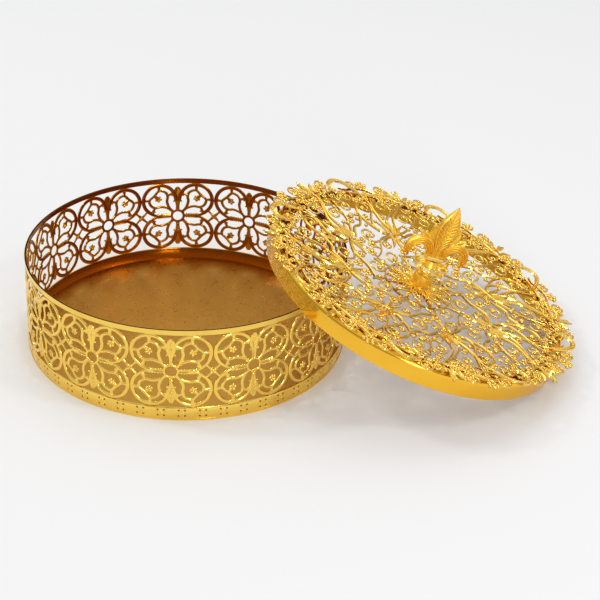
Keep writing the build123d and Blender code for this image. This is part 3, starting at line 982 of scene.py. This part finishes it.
for angle in EDGE_LOOPS:
    x, y = spot(82.5, angle)
    taken.append((x, y, 3.0))
    sector.append(bar(arc(x, y, 3.1, 0, 360)[:-1], 0.6, 0.6, LACE_LEVEL + 0.9, closed=True))
    sector += flower(x, y, 1.9, angle)
    sector.append(stalk(np.array(spot(78.0, angle)), np.array((x, y)), 0.45))
for start, end, width, bend in LEAVES:
    a, b = plan([start, end])
    taken.append(((a[0] + b[0]) / 2, (a[1] + b[1]) / 2, 2.5))
    sector.append(leaf(a, b, width, 0.8, bend, LACE_LEVEL + 0.5))
taken.append((*spot(*HOOK_PLACE), 3.6))
for angle in BEAD_ANGLES:
    sector.append(pearl(*spot(BEAD_ROW, angle), 0.75, LACE_LEVEL + 0.4, 0.8, BEAD))
print("leaves:", len(LEAVES), "beads in the row:", len(BEAD_ANGLES))

# %% [markdown]
# ## Filling in between the stems
# Between its stems the casting is packed with coils, flowers and leaves that are too
# small to trace one by one. A rule can set them: try places at random from a fixed
# seed, large forms first, and keep one that lies near a stem and clear of all the
# others. Each grows from its nearest stem, so that nothing hangs in the air. The
# same seed gives the same lace every time.

# %% Fill the sector between its stems
SEED = 11
ATTEMPTS = 380
FIELD_FROM = 21.0
EDGE_FROM = 69.0
FILL_END = 80.5
FILL = [(size, FIELD_FROM) for size in (6.2, 5.2, 4.4, 3.8, 3.2, 2.7, 2.2, 1.8)]
FILL += [(size, EDGE_FROM) for size in (3.0, 2.6, 2.2, 1.8, 1.5)]

chance = np.random.default_rng(SEED)
stem_places = np.vstack(stem_places)
all_stems = np.vstack([turned_place(stem_places, SECTOR * step) for step in range(SECTORS)])
filled = 0
for size, inner in FILL:
    in_field = inner == FIELD_FROM
    crowding = 0.92 if in_field else 0.8
    for attempt in range(ATTEMPTS):
        radius = math.sqrt(chance.uniform(inner**2, (FILL_END - size) ** 2))
        middle = np.array(spot(radius, chance.uniform(0, SECTOR)))
        gaps = np.linalg.norm(all_stems - middle, axis=1)
        closest = int(np.argmin(gaps))
        free = size + 0.2 < gaps[closest] < size + 4.0
        for x, y, other in taken:
            if not free:
                break
            for step in (-1, 0, 1):
                apart = np.linalg.norm(turned_place((x, y), SECTOR * step) - middle)
                free = free and apart > (size + other) * crowding
        if not free:
            continue
        taken.append((*middle, size))
        filled += 1
        stem = all_stems[closest]
        kind = chance.random()
        if size < 2 and in_field or size < 1.6:
            sector.append(stalk(stem, middle, 0.4))
            sector.append(pearl(*middle, 0.6 * size, LACE_LEVEL + 0.4, 0.8))
        elif size > 4 or kind < (0.68 if in_field else 0.35):
            sector += coil(stem, middle, size, chance.choice((-1, 1)))
        elif kind < 0.88:
            sector.append(stalk(stem, middle, 0.4))
            sector += flower(*middle, min(size, 2.9), chance.uniform(0, 72))
        else:
            tip = middle + (middle - stem) / gaps[closest] * size * 0.9
            sector.append(leaf(stem, tip, size * 0.32, 0.7, 0.12, LACE_LEVEL + 0.4))
print("filled places:", filled)

# %% Turn the sector round the lid
sector = join(sector)
filigree = [moved(sector, turn=SECTOR * step) for step in range(SECTORS)]
print("one sector has", len(sector[0]), "points")

# %% The filigree's centre under the medallion
SCREW_HOLE = 2.3

hub = turned(flat_ring(SCREW_HOLE, 7.2, RING_HEIGHT + 0.02, RING_HEIGHT + 1.28), 64)
rim = turned(flat_ring(17.9, 18.7, RING_HEIGHT + 0.1, RING_HEIGHT + 1.1), 96)
filigree += [hub, rim]
for step in range(16):
    rib = plan([(r, 22.5 * step) for r in (6.8, 12, 18.2)])
    filigree.append(bar(np.array(rib), 0.7, 0.5, LACE_LEVEL))
for step in range(SECTORS):
    turn = SECTOR * step
    line = plan([(18.4, turn + 14), (23.0, turn + 19), (27.0, turn + 24)])
    filigree.append(bar(smooth(line), 0.7, 0.6, LACE_LEVEL))
print("forms round the lid:", len(filigree))


# %% Where shade is painted on the lace
SHADE_DEPTH = 1.3


def lid_shade_mask(tree, place):
    """1 on top of the lid's dished lace, 0 at its underside, as painted shade."""
    centre, up = {1: tuple(lid_centre * MM)}, {1: tuple(lid_up)}
    offset = add_node(tree, "VectorMath", centre, {0: place}, operation="SUBTRACT").outputs[0]
    height = add_node(tree, "VectorMath", up, {0: offset}, operation="DOT_PRODUCT")
    flat = add_node(tree, "VectorMath", up, {0: offset}, operation="CROSS_PRODUCT").outputs[0]
    reach = add_node(tree, "VectorMath", {}, {0: flat}, operation="LENGTH").outputs["Value"]
    slope = {"From Min": DISH_FLOOR * MM, "From Max": (RING_RADIUS - FLANGE) * MM}
    slope |= {"To Min": DISH * MM, "To Max": 0.0}
    dish = add_node(tree, "MapRange", slope, {"Value": reach}).outputs[0]
    raised = {0: height.outputs["Value"], 1: dish}
    level = add_node(tree, "Math", {}, raised, operation="ADD").outputs[0]
    # Painted shade: the lace darkens towards its underside.
    low = (RING_HEIGHT + 0.1) * MM
    span = {"From Min": low, "From Max": low + SHADE_DEPTH * MM}
    return add_node(tree, "MapRange", span, {"Value": level}).outputs[0]


print("the lace brightens over", SHADE_DEPTH, "mm of height")

# %% The filigree and its finish
# Fine casting, plated: bright wires with painted shade in brown on their undersides, so that the
# lace looks deep.
filigree_gilt = gilt("cast_gilt_filigree", "#FFD466", "#7A440E", 0.13, 1.2, 0.3, lid_shade_mask)
piece("filigree_top", filigree, on_dish, filigree_gilt, "lid", "lid_filigree")

# %% [markdown]
# ## The medallion
# A small casting of eight open petals, one within the other, with a flower on the rib
# between them. It hides the place where the screw passes through the filigree. The
# petals are closed bars, as wire bent to a loop would be.

# %% Medallion
FOOT_LEVEL = RING_HEIGHT + 1.3
TOP_LEVEL = FOOT_LEVEL + 1.6
WIRE_LEVEL = FOOT_LEVEL + 0.8

boss = rounded(flat_ring(SCREW_HOLE, 6.0, FOOT_LEVEL, TOP_LEVEL), [0, 0.3, 0.5, 0, 0])
medallion = [turned(boss, 64)]
for step in range(SECTORS):
    angle = 45 * step
    for reach, half, width in ((17.2, 17, 0.5), (13.2, 12, 0.42)):
        loop = plan(
            [(5.5, angle), (8.8, angle + 0.9 * half), (0.74 * reach, angle + half), (reach, angle),
             (0.74 * reach, angle - half), (8.8, angle - 0.9 * half)]
        )
        medallion.append(bar(smooth(loop, closed=True), width, 0.6, WIRE_LEVEL, closed=True))
    medallion.append(leaf(spot(5.6, angle), spot(11.2, angle), 1.0, 0.7, 0, WIRE_LEVEL + 0.1))
    medallion.append(pearl(*spot(14.2, angle), 0.8, WIRE_LEVEL + 0.1, 0.8, BEAD))
    medallion += flower(*spot(15.4, angle + 22.5), 1.5, angle, WIRE_LEVEL + 0.1)
    rib = plan([(r, angle + 22.5) for r in (5.6, 11, 18.2)])
    medallion.append(bar(np.array(rib), 0.45, 0.5, WIRE_LEVEL - 0.1))
piece("medallion", medallion, on_dish, filigree_gilt, "lid", "lid_medallion")

# %% [markdown]
# ## The finial
# A lily casting stands on a plain drum and a brightly polished calyx with eight
# lobes. The drum and the calyx are turned forms, and the lobes only change the
# calyx's radius with the angle.

# %% Collar
COLLAR = TOP_LEVEL - DISH
CALYX = COLLAR + 6.0
LILY = CALYX + 5.4
collar_profile = rounded(
    [(0, COLLAR + 0.02), (5.2, COLLAR + 0.02), (5.2, CALYX - 0.02), (0, CALYX - 0.02)],
    [0, 0.25, 0.5, 0],
)
# A solid casting, left less polished than the lace: it scatters the light, so that its
# ribs read as soft lines and it doesn't mirror the gold around it.
finial_gilt = gilt("cast_gilt_lily", "#FFD658", "#F0AC34", 0.38, 4.0, 0.0)
drum = turned(collar_profile[1:-1], 96)
piece("collar", [drum], on_lid, finial_gilt, "lid", "finial_collar")

# %% Calyx
# Polished to a mirror before plating: the palest gold of all, with clear reflections.
bright_gilt = gilt("polished_gilt_brass", "#FFE894", "#F0BA54", 0.12, 5.0, 0.0)


def lobes(angle, share):
    """Eight round lobes, deepest at the calyx's lip, with a crease between them."""
    depth = 0.2 * np.interp(share, (0, 0.5, 0.62, 0.85, 1), (0, 0.9, 1, 0.2, 0))
    return 1 - depth * (1 - np.abs(np.cos(4 * angle)))


CALYX_SHAPE = (
    (4.9, 0.04), (5.1, 1.2), (6.3, 2.6), (8.2, 3.9), (9.9, 4.6), (10.1, 5.3), (8.0, 4.4),
    (6.2, 3.9), (5.0, 4.4), (4.5, 5.34), (3.0, 5.38),
)
calyx_profile = smooth([(radius, CALYX + level) for radius, level in CALYX_SHAPE])
cup = turned(calyx_profile, 160, lobes)
piece("calyx", [cup], on_lid, bright_gilt, "lid", "finial_calyx")

# %% [markdown]
# ## The lily
# The casting is one spear with four small leaves, two drooping petals and two curls,
# the same in front and behind. Sculpting would give the softest forms, but each part
# is long and thin and ribbed along its length, which is what a bar with its own
# section and a changing width already draws.


# %% Lily sections
def two_sided(half):
    """A section with the same relief in front and behind."""
    return np.array([*half, *[(x, -y) for x, y in reversed(half)]], float)


SPEAR = two_sided(
    with_left([(1, 0.4), (0.95, 0.9), (0.84, 1.0), (0.72, 0.6), (0.16, 0.66), (0.1, 1.0)])
)
BLADE = two_sided(with_left([(1, 0.3), (0.8, 0.8), (0.6, 0.85), (0.1, 0.35)]))
PETAL = two_sided(
    [(1, 0.3), (0.92, 0.85), (0.72, 0.95), (0.56, 0.6), (0.38, 1.0), (0.18, 1.0), (0, 0.62),
     (-0.18, 1.0), (-0.38, 1.0), (-0.56, 0.6), (-0.74, 0.9), (-0.92, 0.7), (-1, 0.3)]
)
print("corners of the spear's section:", len(SPEAR))

# %% The lily's foot
TIE = LILY + 3.0
SPEAR_FOOT = TIE + 3.4
SPEAR_TIP = SPEAR_FOOT + 29.0
foot_profile = rounded(
    [(0.1, LILY + 0.04), (4.4, LILY + 0.04), (3.4, TIE - 0.6), (2.9, TIE + 0.4)],
    [0, 0.5, 0.8, 0],
)
points, faces = turned(foot_profile, 64)
# The foot is stood up, so that its level becomes the lily's.
lily = [(points[:, (0, 2, 1)] * (1, 1, -1), faces)]
print("lily from", round(LILY, 1), "to", round(SPEAR_TIP, 1), "mm above the ring's edge")

# %% The spear and its veins
SPEAR_SHAPE = (
    (TIE, 2.4), (SPEAR_FOOT, 2.4), (31, 2.9), (36, 4.5), (40, 5.4), (43, 5.55), (46.5, 5.0),
    (50, 3.4), (53, 1.8), (SPEAR_TIP - 0.1, 0.2),
)
levels, halves = np.array(SPEAR_SHAPE).T
path = smooth([(0, level) for level in levels], step=0.8)
spear_widths = np.interp(path[:, 1], levels, halves)
thickness = np.interp(path[:, 1], (SPEAR_FOOT, 48, SPEAR_TIP), (1.7, 1.6, 0.5))
lily.append(bar(path, spear_widths, thickness, section=SPEAR))
for level in np.arange(SPEAR_FOOT + 4.5, SPEAR_FOOT + 21, 2.0):
    wide = float(np.interp(level + 2.2, path[:, 1], spear_widths))
    for side in (-1, 1):
        vein = smooth([(side * 0.6, level), (side * wide * 0.72, level + 2.6)])
        for depth in (-1, 1):
            points, faces = bar(vein, tapered(vein, (0.4, 0.55, 0.25)), 0.5)
            lily.append((points + (0, 0, depth * 1.2), faces))
print("spear:", round(2 * float(spear_widths.max()), 1), "mm wide")

# %% Leaves, petals, curls and stem
LEAF_LINES = (((7.2, 43.1), (4.6, 35.2), 2.6), ((12.6, 38.4), (7.2, 33.4), 2.5))
for side in (-1, 1):
    for tip, bend, wide in LEAF_LINES:
        line = [(1.5, TIE + 1.5), bend, tip]
        path = smooth([(side * x, level) for x, level in line])
        grow = tapered(path, (0.5, 0.75, 0.95, 1.1, 1.0, 0.3))
        lily.append(bar(path, wide * grow, 1.3, section=BLADE))
    path = arc(side * 9.9, SPEAR_FOOT + 0.8, 5.95, 90 + side * 96, 90 - side * 130)
    petal_widths = tapered(path, (1.6, 2.0, 2.3, 2.4, 2.4, 2.4, 2.2, 1.6, 0.3))
    lily.append(bar(path, petal_widths, 1.6, section=PETAL))
    line = [(1.8, 24.6), (3.8, 22.7), (6.4, 21.8), (8.4, 22.4), (9.0, 24.0), (7.9, 24.8)]
    curl = smooth([(side * x, level) for x, level in line])
    lily.append(bar(curl, tapered(curl, (1.4, 1.3, 1.0, 0.7, 0.45)), 1.2, section=BLADE))
stem = smooth([(0, LILY + 1), (0, TIE), (0, SPEAR_FOOT + 1)])
lily.append(bar(stem, tapered(stem, (2.6, 3.0, 3.0)), 1.7, section=BLADE))
piece("lily", lily, on_lily, finial_gilt, "lid", "finial_lily")

# %% Tie round the lily's waist
tie_line = smooth([(-4.4, TIE + 1.6), (0, TIE + 1.75), (4.4, TIE + 1.6)])
tie = bar(tie_line, 1.5, 3.05, section=DOMED)
piece("waist_tie", [tie], on_lily, bright_gilt, "lid", "finial_tie")

# %% [markdown]
# ## Pieces that stay as the CAD has them
# The floor, the strap behind the seam, the washer and the screw are plain forms, so
# the CAD model already has their true shape. They only get a finish.

# %% Finish of the CAD nodes that stay
# Rolled sheet, plated and little polished: a duller and deeper gold than the lace.
floor_gilt = gilt("rolled_gilt_sheet", "#CE9A3C", "#9C6A24", 0.32, 2.0, 0.05)
# Plated steel: paler than the brass, since its thin plating lets the grey through.
steel = gilt("plated_steel_screw", "#D9C48A", "#9A8350", 0.3, 1.0, 0.05)
CAD_FINISHES = {
    "base_plate": floor_gilt,
    "seam_strap": floor_gilt,
    "finial_washer": steel,
    "finial_screw": steel,
}
for node, material in CAD_FINISHES.items():
    shown = frame["nodes"][node]
    shown.data.materials.clear()
    shown.data.materials.append(material)
    print(node, "is finished as", material.name)
